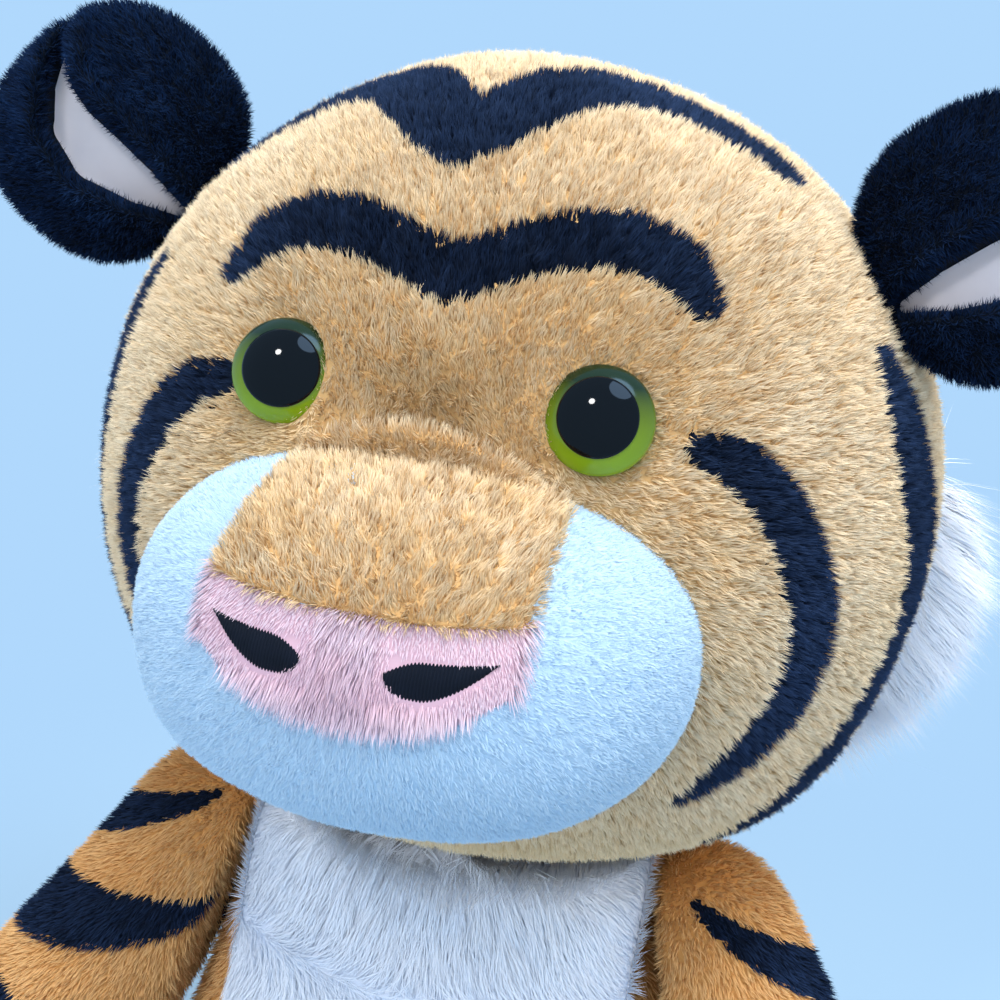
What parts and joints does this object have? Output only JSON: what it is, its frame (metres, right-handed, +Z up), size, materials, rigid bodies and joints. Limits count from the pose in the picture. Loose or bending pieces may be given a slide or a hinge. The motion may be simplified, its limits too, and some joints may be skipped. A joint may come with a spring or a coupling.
{
  "type": "plush tiger",
  "caption": "Seated plush tiger with a large round head, padded muzzle, domed plastic eyes, folded ears, soft limbs and a tail.",
  "frame": {"origin": "middle of the seat panel, on the surface that the toy sits on", "axes": "+Z up, the toy faces -Y, its left side is +X"},
  "size_m": [0.2318, 0.2305, 0.291],
  "materials": {
    "golden_plush": "short tan-golden pile, stuffed firm",
    "black_plush": "short black pile",
    "white_plush": "very short white pile",
    "long_white_pile": "long loose white pile",
    "pink_plush": "brushed pink pile",
    "grey_lining": "thin velour",
    "cotton_bag": "plain cotton filled with plastic pellets",
    "green_eye_plastic": "moulded green collar",
    "black_eye_plastic": "polished black dome",
    "white_plastic": "moulded"
  },
  "bodies": {
    "torso": {"torso": "golden_plush", "seat_panel": "golden_plush", "pellet_bag": "cotton_bag", "chest_bib": "long_white_pile"},
    "neck": {"neck": "golden_plush"},
    "head": {"head": "golden_plush", "muzzle": "white_plush", "nose_bridge": "golden_plush", "nose": "pink_plush", "nostril_left": "black_plush", "nostril_right": "black_plush", "eye_left": "black_eye_plastic", "eye_right": "black_eye_plastic", "iris_left": "green_eye_plastic", "iris_right": "green_eye_plastic", "eye_washer_left": "white_plastic", "eye_washer_right": "white_plastic", "cheek_ruff_left": "long_white_pile", "cheek_ruff_right": "long_white_pile"},
    "ear_left": {"ear_left": "black_plush", "ear_lining_left": "grey_lining"},
    "ear_right": {"ear_right": "black_plush", "ear_lining_right": "grey_lining"},
    "arm_left": {"arm_left": "golden_plush"},
    "arm_right": {"arm_right": "golden_plush"},
    "leg_left": {"leg_left": "golden_plush", "foot_sole_left": "white_plush"},
    "leg_right": {"leg_right": "golden_plush", "foot_sole_right": "white_plush"},
    "tail": {"tail": "golden_plush", "tail_tip": "black_plush"}
  },
  "joints": [
    {"name": "neck_turn", "type": "hinge", "parent": "torso", "child": "neck", "pos_m": [0, -0.006, 0.13], "axis": [0, 0, 1], "range_deg": [-25, 25]},
    {"name": "head_nod", "type": "hinge", "parent": "neck", "child": "head", "pos_m": [0, -0.006, 0.134], "axis": [1, 0, 0], "range_deg": [-10, 4]},
    {"name": "ear_left_fold", "type": "hinge", "parent": "head", "child": "ear_left", "pos_m": [0.06499, -0.03593, 0.25888], "axis": [-0.5257, 0.2944, 0.7981], "range_deg": [-20, 20]},
    {"name": "ear_right_fold", "type": "hinge", "parent": "head", "child": "ear_right", "pos_m": [-0.06499, -0.03593, 0.25888], "axis": [0.5257, 0.2944, 0.7981], "range_deg": [-20, 20]},
    {"name": "arm_left_swing", "type": "hinge", "parent": "torso", "child": "arm_left", "pos_m": [0.043, -0.028, 0.128], "axis": [-0.9659, 0, -0.2588], "range_deg": [-15, 50]},
    {"name": "arm_right_swing", "type": "hinge", "parent": "torso", "child": "arm_right", "pos_m": [-0.043, -0.028, 0.128], "axis": [-0.9659, 0, 0.2588], "range_deg": [-15, 50]},
    {"name": "leg_left_lift", "type": "hinge", "parent": "torso", "child": "leg_left", "pos_m": [0.0323, -0.012, 0.035], "axis": [-1, 0, 0], "range_deg": [0, 20]},
    {"name": "leg_right_lift", "type": "hinge", "parent": "torso", "child": "leg_right", "pos_m": [-0.0323, -0.012, 0.035], "axis": [-1, 0, 0], "range_deg": [0, 20]},
    {"name": "tail_swing", "type": "hinge", "parent": "torso", "child": "tail", "pos_m": [0, 0.046, 0.025], "axis": [0, 0, 1], "range_deg": [-20, 20]}
  ]
}
